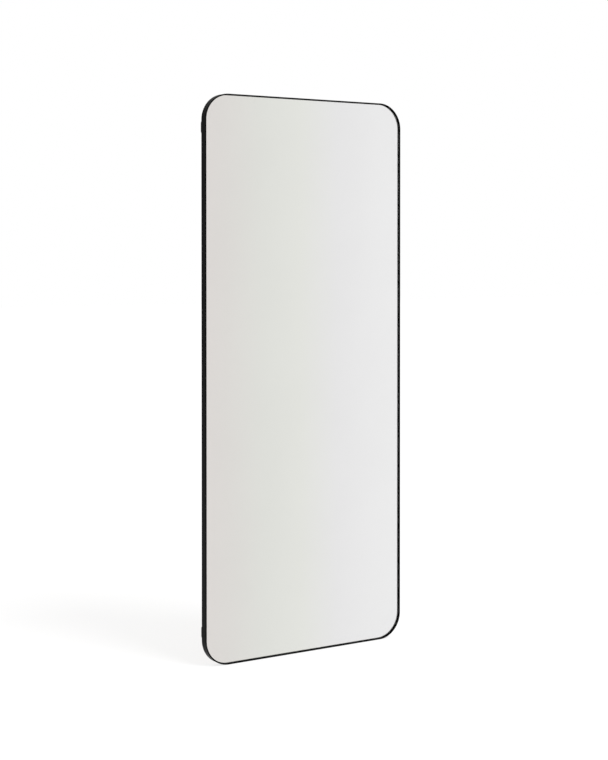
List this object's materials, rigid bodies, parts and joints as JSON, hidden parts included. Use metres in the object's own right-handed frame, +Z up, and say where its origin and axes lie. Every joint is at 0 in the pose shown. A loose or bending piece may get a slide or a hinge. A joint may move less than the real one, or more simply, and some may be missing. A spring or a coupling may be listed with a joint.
{
  "type": "wall mirror",
  "caption": "Tall rounded-corner mirror in a thin black metal frame, with rubber wall bumpers and hinged hanging rings on its back.",
  "frame": {"origin": "centre of the mirror's outline, on the wall plane that the four bumpers touch", "axes": "+X to the right seen from the front, +Y into the wall, +Z up; the mirror faces -Y"},
  "size_m": [0.762, 0.032, 1.829],
  "materials": {
    "black_frame": "satin black powder coat",
    "silvered_glass": "polished, silvered on the back",
    "film": "smooth",
    "foam_tape": "foam",
    "mastic": "matte",
    "board": "raw fibreboard",
    "zinc_screws": "bright zinc plate",
    "hanger_plating": "nickel plate",
    "bumper_rubber": "matte black"
  },
  "bodies": {
    "mirror": {"frame_bar": "black_frame", "board_tabs": "black_frame", "bumper_lugs": "black_frame", "mirror_pane": "silvered_glass", "safety_film": "film", "tape_strips": "foam_tape", "mastic_dabs": "mastic", "backing_board": "board", "tab_screws": "zinc_screws", "hanger_screws": "zinc_screws", "bumper_screws": "zinc_screws", "bumper_upper_left": "bumper_rubber", "bumper_upper_right": "bumper_rubber", "bumper_lower_left": "bumper_rubber", "bumper_lower_right": "bumper_rubber", "hanger_strap_upright_left": "hanger_plating", "hanger_strap_upright_right": "hanger_plating", "hanger_strap_sideways_upper": "hanger_plating", "hanger_strap_sideways_lower": "hanger_plating"},
    "ring_upright_left": {"hanger_ring_upright_left": "hanger_plating"},
    "ring_upright_right": {"hanger_ring_upright_right": "hanger_plating"},
    "ring_sideways_upper": {"hanger_ring_sideways_upper": "hanger_plating"},
    "ring_sideways_lower": {"hanger_ring_sideways_lower": "hanger_plating"}
  },
  "joints": [
    {"name": "upright_left_swing", "type": "hinge", "parent": "mirror", "child": "ring_upright_left", "pos_m": [-0.311, -0.0087, 0.6095], "axis": [1, 0, 0], "range_deg": [0, 179]},
    {"name": "upright_right_swing", "type": "hinge", "parent": "mirror", "child": "ring_upright_right", "pos_m": [0.311, -0.0087, 0.6095], "axis": [1, 0, 0], "range_deg": [0, 179]},
    {"name": "sideways_upper_swing", "type": "hinge", "parent": "mirror", "child": "ring_sideways_upper", "pos_m": [0.325, -0.0087, 0.5045], "axis": [0, 0, -1], "range_deg": [0, 179]},
    {"name": "sideways_lower_swing", "type": "hinge", "parent": "mirror", "child": "ring_sideways_lower", "pos_m": [0.325, -0.0087, -0.5045], "axis": [0, 0, -1], "range_deg": [0, 179]}
  ]
}
